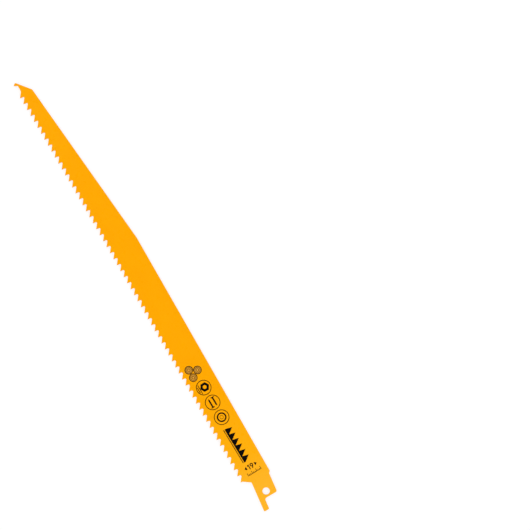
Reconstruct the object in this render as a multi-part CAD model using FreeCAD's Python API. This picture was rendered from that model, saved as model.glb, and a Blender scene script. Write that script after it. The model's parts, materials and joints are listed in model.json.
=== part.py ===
import FreeCAD, Part
import math
import os

# Reciprocating saw blade: one flat steel strip, toothed, set and painted as one piece.
# Millimetres. Origin at the centre of the tang hole, half way through the thickness.
# +X runs to the nose, +Y to the teeth and +Z out of the printed face.

# Blade strip
overall_length = 304.8        # nose to the end of the prong
blade_width = 19.05           # back edge to tooth points
thickness = 1.27

# Toothed edge
tooth_pitch = 4.26
tooth_depth = 2.38            # tooth point to the bottom of the gullet
tooth_back_angle = 37.5
rake_angle = -6.5             # the cutting face looks to the shank and leans back
first_tooth_from_hole = 12.25
lead_tooth_setback = 8.6      # least distance from the nose to the last regular tooth
set_offset = 0.25             # how far a set point stands out sideways
set_depth = 1.3               # tooth point to the bend line
set_pattern = (1, -1, 0)      # right, left, straight
belly_from_nose = 134.0       # the row of teeth bows outwards from here to the nose
belly_radius = 9600.0

# Nose, with its depths from the line of the tooth points
nose_angle = 39.3             # front slope to the blade's axis
nose_radius = 0.9
nose_depth = 1.93             # to the centre of the nose rounding
nose_slope_height = 9.29      # to the end of the front slope
nose_slope_radius = 1.2
plunge_setback = 0.48         # to the point of the plunge tooth
plunge_front_angle = 45.4
plunge_rake_angle = -25.4     # the plunge tooth leans forward
plunge_gullet_radius = 0.85
lead_gullet_depth = 2.67
lead_gullet_radius = 2.1

# Back edge
back_taper_angle = 5.47

# Tang
tang_angle = 6.0              # cant to the tooth side
tang_width = 12.15
hole_diameter = 4.5
hole_from_back = 8.08
shoulder_from_hole = 9.6      # where the back edge steps down
back_shoulder_angle = 45.0
tooth_shoulder_angle = 55.4
heel_depth = 1.3              # tooth points to the heel of the first tooth
throat_radius = 0.8
tang_end = 3.5                # hole centre to the short end
tang_corner_radius = 1.2
step_radius = 1.6
prong_end = 10.4              # hole centre to the prong's end
prong_width = 3.45
prong_corner_radius = 0.6

# Levels across the blade and the foremost point of the nose
back_y = -hole_from_back
point_y = back_y + blade_width
front_x = overall_length - prong_end
belly_x = front_x - belly_from_nose


def heading(angle):
    """Unit direction at this many degrees from +X."""
    turn = math.radians(angle)
    return FreeCAD.Vector(math.cos(turn), math.sin(turn), 0)


def meeting(first, first_angle, second, second_angle):
    """Point where two straight lines cross, each given by a point and a direction."""
    along = heading(first_angle)
    other = heading(second_angle)
    between = second - first
    reach = (between.x * other.y - between.y * other.x) / (along.x * other.y - along.y * other.x)
    return first + along * reach


def level(y):
    """Point on the line along the blade at this y."""
    return FreeCAD.Vector(0, y, 0)


def tang_corner(from_hole, across):
    """Corner of a square end of the tang with an edge that runs along the canted tang."""
    edge = heading(90 - tang_angle) * across
    return meeting(edge, 180 - tang_angle, FreeCAD.Vector(-from_hole, 0, 0), 90)


def rounded_wire(corners):
    """Closed outline through (point, radius) corners, with an arc at each rounded one."""
    edges = []
    stops = []
    for index, (point, radius) in enumerate(corners):
        before = (corners[index - 1][0] - point).normalize()
        after = (corners[(index + 1) % len(corners)][0] - point).normalize()
        if radius == 0:
            stops.append((point, None, point))
            continue
        half = before.getAngle(after) / 2
        run = radius / math.tan(half)
        centre = point + (before + after).normalize() * (radius / math.sin(half))
        middle = centre + (point - centre).normalize() * radius
        stops.append((point + before * run, middle, point + after * run))
    for index, (start, middle, end) in enumerate(stops):
        if middle is not None:
            edges.append(Part.Arc(start, middle, end).toShape())
        edges.append(Part.LineSegment(end, stops[(index + 1) % len(stops)][0]).toShape())
    return Part.Wire(edges)


def row_point(x):
    """Point at this x on the line that all the tooth points touch."""
    run = max(0, x - belly_x)
    bow = belly_radius - math.sqrt(belly_radius ** 2 - run ** 2)
    return FreeCAD.Vector(x, point_y + bow, 0)


def tooth_points():
    """Points of the regular teeth, as many as the blade has room for, shank to nose."""
    room = front_x - lead_tooth_setback - first_tooth_from_hole
    return [
        row_point(first_tooth_from_hole + index * tooth_pitch)
        for index in range(int(room / tooth_pitch) + 1)
    ]


def gullet(point, next_point):
    """Corner and radius of the gullet from one tooth's back to the next tooth's face."""
    back = -tooth_back_angle
    face = -90 + rake_angle
    corner = meeting(point, back, next_point, face)
    opening = heading(back + 180) + heading(face + 180)
    half = math.radians(face - back) / 2
    rise = opening.normalize().y / math.sin(abs(half))
    floor_y = (point.y + next_point.y) / 2 - tooth_depth
    return corner, (floor_y - corner.y) / (rise - 1)


def toothed_edge():
    """Corners of the regular teeth and the gullets between them, shank to nose."""
    points = tooth_points()
    corners = []
    for point, next_point in zip(points, points[1:]):
        corners.append((point, 0))
        corners.append(gullet(point, next_point))
    corners.append((points[-1], 0))
    return corners


def nose():
    """Corners of the lead gullet, the plunge tooth and the nose, to the back edge."""
    row_y = row_point(front_x).y
    floor = level(row_y - lead_gullet_depth)
    lead_in = meeting(tooth_points()[-1], -tooth_back_angle, floor, 0)
    centre = FreeCAD.Vector(front_x - nose_radius, row_y - nose_depth, 0)
    slope_normal = heading(nose_angle - 90)
    front_normal = heading(90 - plunge_front_angle)
    half = slope_normal.getAngle(front_normal) / 2
    middle = (slope_normal + front_normal).normalize()
    nose_corner = centre + middle * (nose_radius / math.cos(half))
    plunge_level = level(row_y - plunge_setback)
    plunge_point = meeting(nose_corner, 180 - plunge_front_angle, plunge_level, 0)
    plunge_root = meeting(plunge_point, -90 + plunge_rake_angle, floor, 0)
    slope_end = meeting(nose_corner, 180 + nose_angle, level(row_y - nose_slope_height), 0)
    taper_end = meeting(slope_end, 180 + back_taper_angle, level(back_y), 0)
    return [
        (lead_in, lead_gullet_radius),
        (plunge_root, plunge_gullet_radius),
        (plunge_point, 0),
        (nose_corner, nose_radius),
        (slope_end, nose_slope_radius),
        (taper_end, 0),
    ]


def tang():
    """Corners of the shoulders and the tang, from the back edge round to the heel."""
    half_width = tang_width / 2
    step = half_width - prong_width
    lengthwise = 180 - tang_angle
    shoulder = FreeCAD.Vector(shoulder_from_hole, back_y, 0)
    short_corner = tang_corner(tang_end, -half_width)
    prong_corner = tang_corner(prong_end, half_width)
    neck = meeting(shoulder, 180 - back_shoulder_angle, short_corner, lengthwise)
    heel = meeting(tooth_points()[0], -90 + rake_angle, level(point_y - heel_depth), 0)
    throat = meeting(heel, 180 + tooth_shoulder_angle, prong_corner, lengthwise)
    return [
        (shoulder, 0),
        (neck, 0),
        (short_corner, tang_corner_radius),
        (tang_corner(tang_end, step), step_radius),
        (tang_corner(prong_end, step), prong_corner_radius),
        (prong_corner, prong_corner_radius),
        (throat, throat_radius),
        (heel, 0),
    ]


def outline(height):
    """The whole outline as a solid of this height, centred on the mid plane."""
    wire = rounded_wire(toothed_edge() + nose() + tang())
    wire.translate(FreeCAD.Vector(0, 0, -height / 2))
    return Part.Face(wire).extrude(FreeCAD.Vector(0, 0, height))


def tooth_base():
    """Length of a tooth's back down to the bend line."""
    return set_depth / math.tan(math.radians(tooth_back_angle))


def tooth_clearance():
    """How far a cut reaches past a tooth, a third of the gap between two teeth."""
    return (tooth_pitch - tooth_base()) / 3


def bent_slab(point, side, thick):
    """Space that one tooth fills above its bend line, leaning to its side."""
    start_x = point.x - tooth_clearance()
    bend_y = point.y - set_depth
    top_y = point.y + set_depth
    lean = 2 * side * set_offset
    half = thick / 2
    section = Part.makePolygon([
        FreeCAD.Vector(start_x, bend_y, -half),
        FreeCAD.Vector(start_x, top_y, lean - half),
        FreeCAD.Vector(start_x, top_y, lean + half),
        FreeCAD.Vector(start_x, bend_y, half),
        FreeCAD.Vector(start_x, bend_y, -half),
    ])
    return Part.Face(section).extrude(FreeCAD.Vector(tooth_base() + 2 * tooth_clearance(), 0, 0))


def flat_plate():
    """The blade without its tooth tips, with the nose and the tang."""
    tips = [bent_slab(point, 0, 2 * thickness) for point in tooth_points()]
    return outline(thickness).cut(Part.makeCompound(tips))


def set_teeth():
    """Tips of the regular teeth, bent in turn to either side or left straight."""
    slabs = []
    for index, point in enumerate(tooth_points()):
        side = set_pattern[index % len(set_pattern)]
        slabs.append(bent_slab(point, side, thickness))
    blank = outline(2 * (thickness + set_offset))
    return blank.common(Part.makeCompound(slabs)).Solids


def tang_hole():
    """The hole that the saw's locating pin enters."""
    return Part.makeCylinder(hole_diameter / 2, thickness * 2, FreeCAD.Vector(0, 0, -thickness))


def blade():
    """The whole blade as one solid."""
    body = flat_plate().cut(tang_hole())
    return body.multiFuse(set_teeth()).removeSplitter().Solids[0]


os.makedirs("parts", exist_ok=True)
blade().exportStep("parts/blade.step")
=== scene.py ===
import json
import math
import bmesh
import bpy
from mathutils import Matrix, Vector


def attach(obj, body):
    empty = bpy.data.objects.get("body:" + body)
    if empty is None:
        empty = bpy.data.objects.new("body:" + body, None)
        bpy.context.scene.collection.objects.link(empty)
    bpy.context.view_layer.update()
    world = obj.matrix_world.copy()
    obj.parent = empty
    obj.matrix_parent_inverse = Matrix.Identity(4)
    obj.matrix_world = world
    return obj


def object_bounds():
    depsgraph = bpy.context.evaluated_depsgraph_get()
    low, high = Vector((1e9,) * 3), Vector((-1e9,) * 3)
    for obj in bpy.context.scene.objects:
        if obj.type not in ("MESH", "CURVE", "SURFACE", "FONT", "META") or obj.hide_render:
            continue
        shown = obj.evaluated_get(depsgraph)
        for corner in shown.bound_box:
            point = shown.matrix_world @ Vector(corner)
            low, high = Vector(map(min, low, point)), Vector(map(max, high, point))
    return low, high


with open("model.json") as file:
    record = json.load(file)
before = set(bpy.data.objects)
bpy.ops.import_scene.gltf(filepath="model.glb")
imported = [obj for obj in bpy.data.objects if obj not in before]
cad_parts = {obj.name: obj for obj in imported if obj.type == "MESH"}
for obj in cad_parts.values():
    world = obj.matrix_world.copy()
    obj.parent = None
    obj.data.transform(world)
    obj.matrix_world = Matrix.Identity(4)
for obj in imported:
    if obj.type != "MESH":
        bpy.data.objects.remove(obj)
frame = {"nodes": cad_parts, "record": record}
cad_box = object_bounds()


# Camera
# It looks down on the printed face from high above, a degree off straight towards the
# tang, with the nose at the upper left and the tang at the lower middle.
view_width = 0.3257
view_middle = (0.1205, -0.0682)
view_turn = math.radians(-119.8)
view_tilt = math.radians(1.28)
photo_camera = bpy.data.cameras.new("photo_camera")
photo_camera.lens = 100
photo_camera.sensor_width = 36
camera = bpy.data.objects.new("photo_camera", photo_camera)
camera_distance = view_width * photo_camera.lens / photo_camera.sensor_width
turned = Matrix.Rotation(-view_tilt, 4, "Y") @ Matrix.Rotation(view_turn, 4, "Z")
camera.rotation_euler = turned.to_euler()
camera.location = Vector((*view_middle, 0)) + turned @ Vector((0, 0, camera_distance))
bpy.context.collection.objects.link(camera)
bpy.context.scene.camera = camera
bpy.context.scene.view_settings.view_transform = "Standard"


# The blade
# One strip of hardened steel, toothed, set and then sprayed all over with a thin
# orange-yellow enamel, which shows a fine orange peel on the faces and, on the narrow
# edges, a darker colour that is painted shade and the marks of shearing and milling.
enamel = (0.955, 0.369, 0.0, 1)
enamel_thin = (0.965, 0.383, 0.0, 1)
# The paler colours towards the shank and the tang are a painted sheen.
shank_painted_sheen = (0.975, 0.409, 0.003, 1)
tang_painted_sheen = (0.985, 0.443, 0.019, 1)
# The narrow edges get this darker colour as painted shade, for their turn away from the light.
edge_painted_shade = (0.66, 0.200, 0.0, 1)
enamel_shine = 0.1
dullest_enamel = 0.33
glossiest_enamel = 0.26
# Where the painted sheen towards the shank and the tang starts and where it is full, along the blade
# in metres.
shank_sheen_from = 0.070
shank_sheen_to = 0.030
tang_sheen_from = 0.026
tang_sheen_to = 0.004
thin_patches = 70
gloss_patches = 500
peel_bumps = 1400
peel_depth = 0.000006
cut_marks = 5000
cut_mark_stretch = 25
cut_mark_depth = 0.00004


def new_material(name):
    """A node material, with its main shader and a coordinate that stays on the piece."""
    material = bpy.data.materials.new(name)
    material.use_nodes = True
    nodes = material.node_tree.nodes
    place = nodes.new("ShaderNodeTexCoord")
    return material, nodes["Principled BSDF"], place.outputs["Object"]


def grain(material, place, count, detail=2, stretch=(1, 1, 1)):
    """Noise on the piece: features to the metre, and how much longer they are along each axis."""
    nodes = material.node_tree.nodes
    links = material.node_tree.links
    mapping = nodes.new("ShaderNodeMapping")
    mapping.inputs["Scale"].default_value = [count / length for length in stretch]
    noise = nodes.new("ShaderNodeTexNoise")
    noise.inputs["Scale"].default_value = 1
    noise.inputs["Detail"].default_value = detail
    links.new(place, mapping.inputs["Vector"])
    links.new(mapping.outputs["Vector"], noise.inputs["Vector"])
    return noise.outputs["Fac"]


def spread(material, value, low, high, start=0.3, end=0.7):
    """A value between start and end, the middle of a noise, stretched to run from low to high."""
    node = material.node_tree.nodes.new("ShaderNodeMapRange")
    node.inputs["From Min"].default_value = start
    node.inputs["From Max"].default_value = end
    node.inputs["To Min"].default_value = low
    node.inputs["To Max"].default_value = high
    material.node_tree.links.new(value, node.inputs["Value"])
    return node.outputs["Result"]


def blend_colours(material, share, first, second):
    """A colour between two, by a share from 0 to 1. Either is a colour or a node's output."""
    node = material.node_tree.nodes.new("ShaderNodeMix")
    node.data_type = "RGBA"
    sockets = [socket for socket in node.inputs if socket.type == "RGBA"]
    for socket, colour in zip(sockets, (first, second)):
        if isinstance(colour, tuple):
            socket.default_value = colour
        else:
            material.node_tree.links.new(colour, socket)
    material.node_tree.links.new(share, node.inputs["Factor"])
    return [socket for socket in node.outputs if socket.type == "RGBA"][0]


def add_bump(material, shader, height, depth, under=None):
    """Relief of this depth in metres, over an earlier relief if there is one."""
    nodes = material.node_tree.nodes
    links = material.node_tree.links
    bump = nodes.new("ShaderNodeBump")
    bump.inputs["Strength"].default_value = 1
    bump.inputs["Distance"].default_value = depth
    links.new(height, bump.inputs["Height"])
    if under is not None:
        links.new(under, bump.inputs["Normal"])
    links.new(bump.outputs["Normal"], shader.inputs["Normal"])
    return bump.outputs["Normal"]


def edge_share(material):
    """Share from 0 on the two faces to 1 on the narrow edges, by the way the steel faces."""
    nodes = material.node_tree.nodes
    links = material.node_tree.links
    facing = nodes.new("ShaderNodeNewGeometry")
    split = nodes.new("ShaderNodeSeparateXYZ")
    links.new(facing.outputs["Normal"], split.inputs["Vector"])
    upright = nodes.new("ShaderNodeMath")
    upright.operation = "ABSOLUTE"
    links.new(split.outputs["Z"], upright.inputs[0])
    sideways = nodes.new("ShaderNodeMath")
    sideways.operation = "SUBTRACT"
    sideways.inputs[0].default_value = 1
    links.new(upright.outputs["Value"], sideways.inputs[1])
    return sideways.outputs["Value"]


def sprayed_enamel():
    """Satin enamel with orange peel, paler towards the shank and tang as a painted sheen, and darker
    on the edges as painted shade, with cut marks.
    """
    material, shader, place = new_material("sprayed_enamel")
    nodes = material.node_tree.nodes
    links = material.node_tree.links
    shader.inputs["Specular IOR Level"].default_value = enamel_shine
    thin = spread(material, grain(material, place, thin_patches, detail=3), 0, 1)
    sprayed = blend_colours(material, thin, enamel, enamel_thin)
    along = nodes.new("ShaderNodeSeparateXYZ")
    links.new(place, along.inputs["Vector"])
    # The paint turns paler towards the shank and the tang here as a painted sheen.
    to_shank = spread(material, along.outputs["X"], 0, 1, shank_sheen_from, shank_sheen_to)
    to_tang = spread(material, along.outputs["X"], 0, 1, tang_sheen_from, tang_sheen_to)
    colour_with_shank_sheen = blend_colours(material, to_shank, sprayed, shank_painted_sheen)
    colour_with_sheen = blend_colours(material, to_tang, colour_with_shank_sheen, tang_painted_sheen)
    # The edges' colour is darkened here as painted shade; the same edge share also places the cut
    # marks.
    on_edge = edge_share(material)
    coat = blend_colours(material, on_edge, colour_with_sheen, edge_painted_shade)
    links.new(coat, shader.inputs["Base Color"])
    gloss = grain(material, place, gloss_patches)
    roughness = spread(material, gloss, glossiest_enamel, dullest_enamel)
    links.new(roughness, shader.inputs["Roughness"])
    peel = add_bump(material, shader, grain(material, place, peel_bumps), peel_depth)
    marks = nodes.new("ShaderNodeMath")
    marks.operation = "MULTIPLY"
    cuts = grain(material, place, cut_marks, stretch=(1, 1, cut_mark_stretch))
    links.new(cuts, marks.inputs[0])
    links.new(on_edge, marks.inputs[1])
    add_bump(material, shader, marks.outputs["Value"], cut_mark_depth, peel)
    return material


blade = frame["nodes"]["blade"]
blade.data.materials.clear()
blade.data.materials.append(sprayed_enamel())


# Printed pipe sign
# A thin circle round the end of a cut pipe, with its far end as a finer circle in the
# bore. It is the last of three round signs. All the black marks are one thin layer of
# ink, stamped on the dry enamel with a soft pad.
ink_black = (0.0006, 0.0004, 0.0008, 1)
ink_worn = (0.004, 0.002, 0.001, 1)
ink_height = 0.00002
ink_roughness = 0.55
ink_shine = 0.05
worn_spots = 2500
ink_specks = 6000
ink_speck_depth = 0.000003
row_start = (0.0857, 0.0021)
row_turn = math.radians(181.5)
face_heights = {mount["name"]: mount["pos_m"][2] for mount in frame["record"]["mounts"]}
row_origin = Matrix.Translation((*row_start, face_heights["tang_printed_face"]))
row_place = row_origin @ Matrix.Rotation(row_turn, 4, "Z")
same_point = 0.000001
sign_radius = 0.00475
sign_line = 0.00045
sign_sides = 64
sign_step = 0.0106
first_sign = 0.0118
pipe_outer = 0.0030
pipe_wall = 0.0009
pipe_far_end = 0.0012


def ink(name, colour, worn_colour):
    """Matt ink, a little worn in spots so that the paint under it warms it."""
    material, shader, place = new_material(name)
    shader.inputs["Roughness"].default_value = ink_roughness
    shader.inputs["Specular IOR Level"].default_value = ink_shine
    worn = spread(material, grain(material, place, worn_spots, detail=3), 0, 1)
    mixed = blend_colours(material, worn, colour, worn_colour)
    material.node_tree.links.new(mixed, shader.inputs["Base Color"])
    add_bump(material, shader, grain(material, place, ink_specks), ink_speck_depth)
    return material


black_ink = ink("black_ink", ink_black, ink_worn)


def circle(sheet, middle, radius, sides=sign_sides):
    """Round outline, as its edges."""
    place = Matrix.Translation((*middle, 0))
    made = bmesh.ops.create_circle(sheet, segments=sides, radius=radius, matrix=place)
    return list(dict.fromkeys(edge for vert in made["verts"] for edge in vert.link_edges))


def ring(sheet, middle, radius, line, sides=sign_sides):
    """Printed circle line of this outer radius and width."""
    edges = circle(sheet, middle, radius, sides) + circle(sheet, middle, radius - line, sides)
    bmesh.ops.bridge_loops(sheet, edges=edges)


def outline(sheet, corners):
    """Straight-sided closed outline through these corners, as its edges."""
    verts = [sheet.verts.new((*corner, 0)) for corner in corners]
    return [sheet.edges.new((vert, verts[index - 1])) for index, vert in enumerate(verts)]


def fill(sheet, edges):
    """Ink between an outline and any outlines inside it."""
    bmesh.ops.triangle_fill(sheet, edges=edges, use_beauty=True)


def bar(sheet, middle, length, width):
    """Printed straight bar along the row."""
    half = length / 2
    rise = width / 2
    x, y = middle
    fill(sheet, outline(sheet, [
        (x - half, y - rise), (x + half, y - rise), (x + half, y + rise), (x - half, y + rise),
    ]))


def lay_print(name, sheet, along, across=0, turn=0, material=black_ink, height=ink_height):
    """Gives the flat print its thickness and lays it at its place in the row."""
    bmesh.ops.remove_doubles(sheet, verts=sheet.verts, dist=same_point)
    sheet.normal_update()
    downward = [face for face in sheet.faces if face.normal.z < 0]
    bmesh.ops.reverse_faces(sheet, faces=downward)
    bmesh.ops.solidify(sheet, geom=sheet.faces[:], thickness=height)
    lowest = min(vert.co.z for vert in sheet.verts)
    bmesh.ops.translate(sheet, verts=sheet.verts, vec=(0, 0, -lowest))
    place = row_place @ Matrix.Translation((along, across, 0)) @ Matrix.Rotation(turn, 4, "Z")
    bmesh.ops.transform(sheet, matrix=place, verts=sheet.verts)
    bmesh.ops.recalc_face_normals(sheet, faces=sheet.faces)
    mesh = bpy.data.meshes.new(name)
    sheet.to_mesh(mesh)
    sheet.free()
    mesh.materials.append(material)
    piece = bpy.data.objects.new(name, mesh)
    bpy.context.collection.objects.link(piece)
    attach(piece, "root")


pipe_sign = bmesh.new()
ring(pipe_sign, (0, 0), sign_radius, sign_line)
ring(pipe_sign, (0, 0), pipe_outer, pipe_wall)
ring(pipe_sign, (0, 0), pipe_far_end, sign_line / 2)
lay_print("pipe_sign", pipe_sign, first_sign + 2 * sign_step)


# Printed nut sign
# The same circle round a solid black hexagon nut, for work in metal, which stands on
# two thin lines. It is the first of the three round signs.
nut_radius = 0.0030
nut_sides = 6
nut_hole = 0.0012
nut_hole_sides = 24
nut_rise = 0.0007
nut_lines = ((-0.0025, 0.0060), (-0.0035, 0.0038))
nut_sign = bmesh.new()
ring(nut_sign, (0, 0), sign_radius, sign_line)
nut_edges = circle(nut_sign, (0, nut_rise), nut_radius, nut_sides)
nut_edges += circle(nut_sign, (0, nut_rise), nut_hole, nut_hole_sides)
fill(nut_sign, nut_edges)
for level, length in nut_lines:
    bar(nut_sign, (0, level), length, sign_line)
lay_print("nut_sign", nut_sign, first_sign)


# Printed nail sign
# The same circle round two bold nails that lie head to point, one above the other,
# for wood with nails left in it.
nail_half = 0.0031
nail_head = 0.0006
nail_head_half = 0.0011
nail_shank_half = 0.00048
nail_point = 0.0010
nail_rise = 0.00135
nail_sign = bmesh.new()
ring(nail_sign, (0, 0), sign_radius, sign_line)
for way in (1, -1):
    profile = [
        (-nail_half, -nail_head_half),
        (-nail_half + nail_head, -nail_head_half),
        (-nail_half + nail_head, -nail_shank_half),
        (nail_half - nail_point, -nail_shank_half),
        (nail_half, 0),
        (nail_half - nail_point, nail_shank_half),
        (-nail_half + nail_head, nail_shank_half),
        (-nail_half + nail_head, nail_head_half),
        (-nail_half, nail_head_half),
    ]
    fill(nail_sign, outline(nail_sign, [(way * x, way * (y + nail_rise)) for x, y in profile]))
lay_print("nail_sign", nail_sign, first_sign + sign_step)


# Printed log pile
# Three log ends in a pile, at the end of the row that is nearest to the nose. The tan
# discs are a first stamp in a brown ink, and the black growth rings are a second.
log_tan = (0.76, 0.36, 0.040, 1)
log_brown = (0.68, 0.30, 0.035, 1)
log_tan_height = 0.00001
log_radius = 0.00262
log_sides = 40
log_gap = 0.0001
log_step = 2 * log_radius + log_gap
log_rise = log_step * math.sin(math.radians(60))
log_places = ((-log_step / 2, -log_rise / 2), (log_step / 2, -log_rise / 2), (0, log_rise / 2))
log_bark = 0.0005
log_rings = (0.0018, 0.0010)
log_ring_line = 0.0003
log_ring_sides = 32
log_pile_along = 0.0006
tan_ink = ink("tan_ink", log_tan, log_brown)
log_discs = bmesh.new()
log_lines = bmesh.new()
for middle in log_places:
    fill(log_discs, circle(log_discs, middle, log_radius - log_bark / 2, log_sides))
    ring(log_lines, middle, log_radius, log_bark, log_sides)
    for radius in log_rings:
        ring(log_lines, middle, radius, log_ring_line, log_ring_sides)
lay_print("log_discs", log_discs, log_pile_along, material=tan_ink, height=log_tan_height)
lay_print("log_lines", log_lines, log_pile_along)


# Printed tooth band
# A bold row of plain saw teeth over one thin line. It is the largest mark on the blade,
# stamped between the round signs and the width mark.
band_along = 0.0522
band_across = -0.0005
band_length = 0.0235
band_line = 0.00045
band_line_level = -0.0027
band_teeth = 6
band_foot = -0.0020
band_bar = 0.0010
band_top = 0.0029
band_lean = 0.25
tooth_band = bmesh.new()
bar(tooth_band, (0, band_line_level), band_length, band_line)
band_pitch = band_length / band_teeth
start = -band_length / 2
corners = [(start, band_foot), (-start, band_foot), (-start, band_foot + band_bar)]
for index in reversed(range(band_teeth)):
    root = start + index * band_pitch
    corners.append((root + band_lean * band_pitch, band_top))
    corners.append((root, band_foot + band_bar))
fill(tooth_band, outline(tooth_band, corners))
lay_print("tooth_band", tooth_band, band_along, band_across)


# Printed width mark
# The blade's width in millimetres, as a plain number between two arrow heads. It is
# stamped across the blade, between the tooth band and the scale.
mark_along = 0.06775
mark_across = -0.00035
mark_half = 0.0043
crosswise = math.radians(90)
arrow_length = 0.0015
arrow_half = 0.0012
figure_half = 0.0016
one_middle = -0.00105
one_profile = (
    (0.00030, -figure_half), (0.00030, figure_half), (-0.00020, figure_half),
    (-0.00085, 0.00110), (-0.00085, 0.00050), (-0.00028, 0.00088), (-0.00028, -figure_half),
)
nine_middle = 0.00085
nine_radius = 0.00108
nine_line = 0.00057
nine_tail_turn = -30
nine_steps = 32


def nine_outline():
    """Outside of the figure nine: its round head and the straight tail that leaves it."""
    head = figure_half - nine_radius
    left_turn = nine_tail_turn - math.degrees(math.acos(1 - nine_line / nine_radius))
    corners = []
    for index in range(nine_steps + 1):
        turn = math.radians(nine_tail_turn + index * (360 + left_turn - nine_tail_turn) / nine_steps)
        x = nine_middle + nine_radius * math.cos(turn)
        corners.append((x, head + nine_radius * math.sin(turn)))
    slope = math.tan(math.radians(nine_tail_turn))
    for x, y in (corners[-1], corners[0]):
        corners.append((x + (y + figure_half) * slope, -figure_half))
    return corners


width_mark = bmesh.new()
fill(width_mark, outline(width_mark, [(one_middle + x, y) for x, y in one_profile]))
nine_edges = outline(width_mark, nine_outline())
nine_edges += circle(
    width_mark, (nine_middle, figure_half - nine_radius), nine_radius - nine_line, nine_steps,
)
fill(width_mark, nine_edges)
for side in (1, -1):
    fill(width_mark, outline(width_mark, [
        (side * mark_half, 0),
        (side * (mark_half - arrow_length), arrow_half),
        (side * (mark_half - arrow_length), -arrow_half),
    ]))
lay_print("width_mark", width_mark, mark_along, mark_across, crosswise)


# Printed scale
# A fine scale of nine millimetres across the blade, the last mark before the tang. Its
# lines stand on one base line like the teeth of a comb, and every third is long.
scale_along = 0.0715
scale_across = -0.0001
scale_steps = 9
scale_step = 0.001
scale_line = 0.00032
scale_short = 0.0010
scale_long = 0.0019
long_line_every = 3
fine_scale = bmesh.new()
scale_half = scale_steps * scale_step / 2
scale_foot = -scale_long / 2
line_half = scale_line / 2
corners = [(-scale_half - line_half, scale_foot), (scale_half + line_half, scale_foot)]
for index in reversed(range(scale_steps + 1)):
    height = scale_short
    if index % long_line_every == 0:
        height = scale_long
    x = index * scale_step - scale_half
    corners.append((x + line_half, scale_foot + scale_line))
    corners.append((x + line_half, scale_foot + height))
    corners.append((x - line_half, scale_foot + height))
    corners.append((x - line_half, scale_foot + scale_line))
fill(fine_scale, outline(fine_scale, corners))
lay_print("fine_scale", fine_scale, scale_along, scale_across, crosswise)


# Floor and light
# The blade lies on a plain white light table in a pale room with a dark ceiling, so
# the paint stays deep, and four broad soft lamps round it leave next to no shadow.
floor_level = cad_box[0][2]
floor_size = 20
floor_white = (0.97, 0.97, 0.97, 1)
floor_body = (0.20, 0.20, 0.20, 1)
floor_glow = 0.84
floor_roughness = 0.9
lamp_count = 4
first_lamp_turn = 45
lamp_height = 0.95
lamp_reach = 1.3
lamp_size = 1.8
lamp_power = 15.1
room_white = (0.97, 0.98, 1.0, 1)
room_walls = 0.7
room_ceiling = 0.03
ceiling_starts = 0.45
floor_sheet = bmesh.new()
bmesh.ops.create_grid(
    floor_sheet, x_segments=1, y_segments=1, size=floor_size / 2,
    matrix=Matrix.Translation((*view_middle, floor_level)),
)
floor_mesh = bpy.data.meshes.new("floor")
floor_sheet.to_mesh(floor_mesh)
floor_sheet.free()
floor = bpy.data.objects.new("floor", floor_mesh)
bpy.context.collection.objects.link(floor)
table_top, table_shader, _ = new_material("table_top")
table_shader.inputs["Base Color"].default_value = floor_body
table_shader.inputs["Roughness"].default_value = floor_roughness
table_shader.inputs["Specular IOR Level"].default_value = 0
table_shader.inputs["Emission Color"].default_value = floor_white
table_shader.inputs["Emission Strength"].default_value = floor_glow
floor_mesh.materials.append(table_top)
for index in range(lamp_count):
    turn = view_turn + math.radians(first_lamp_turn + index * 360 / lamp_count)
    away = Vector((math.cos(turn), math.sin(turn), 0)) * lamp_reach
    lamp = bpy.data.lights.new("soft_lamp", "AREA")
    lamp.size = lamp_size
    lamp.energy = lamp_power
    holder = bpy.data.objects.new("soft_lamp", lamp)
    holder.location = Vector((*view_middle, lamp_height)) + away
    aim = Vector((*view_middle, 0)) - holder.location
    holder.rotation_euler = aim.to_track_quat("-Z", "Y").to_euler()
    bpy.context.collection.objects.link(holder)
room = bpy.data.worlds.new("room")
room.use_nodes = True
room_light = room.node_tree.nodes["Background"]
room_light.inputs["Color"].default_value = room_white
direction = room.node_tree.nodes.new("ShaderNodeTexCoord")
parts = room.node_tree.nodes.new("ShaderNodeSeparateXYZ")
fade = room.node_tree.nodes.new("ShaderNodeMapRange")
fade.inputs["From Min"].default_value = 0
fade.inputs["From Max"].default_value = ceiling_starts
fade.inputs["To Min"].default_value = room_walls
fade.inputs["To Max"].default_value = room_ceiling
room.node_tree.links.new(direction.outputs["Generated"], parts.inputs["Vector"])
room.node_tree.links.new(parts.outputs["Z"], fade.inputs["Value"])
room.node_tree.links.new(fade.outputs["Result"], room_light.inputs["Strength"])
bpy.context.scene.world = room
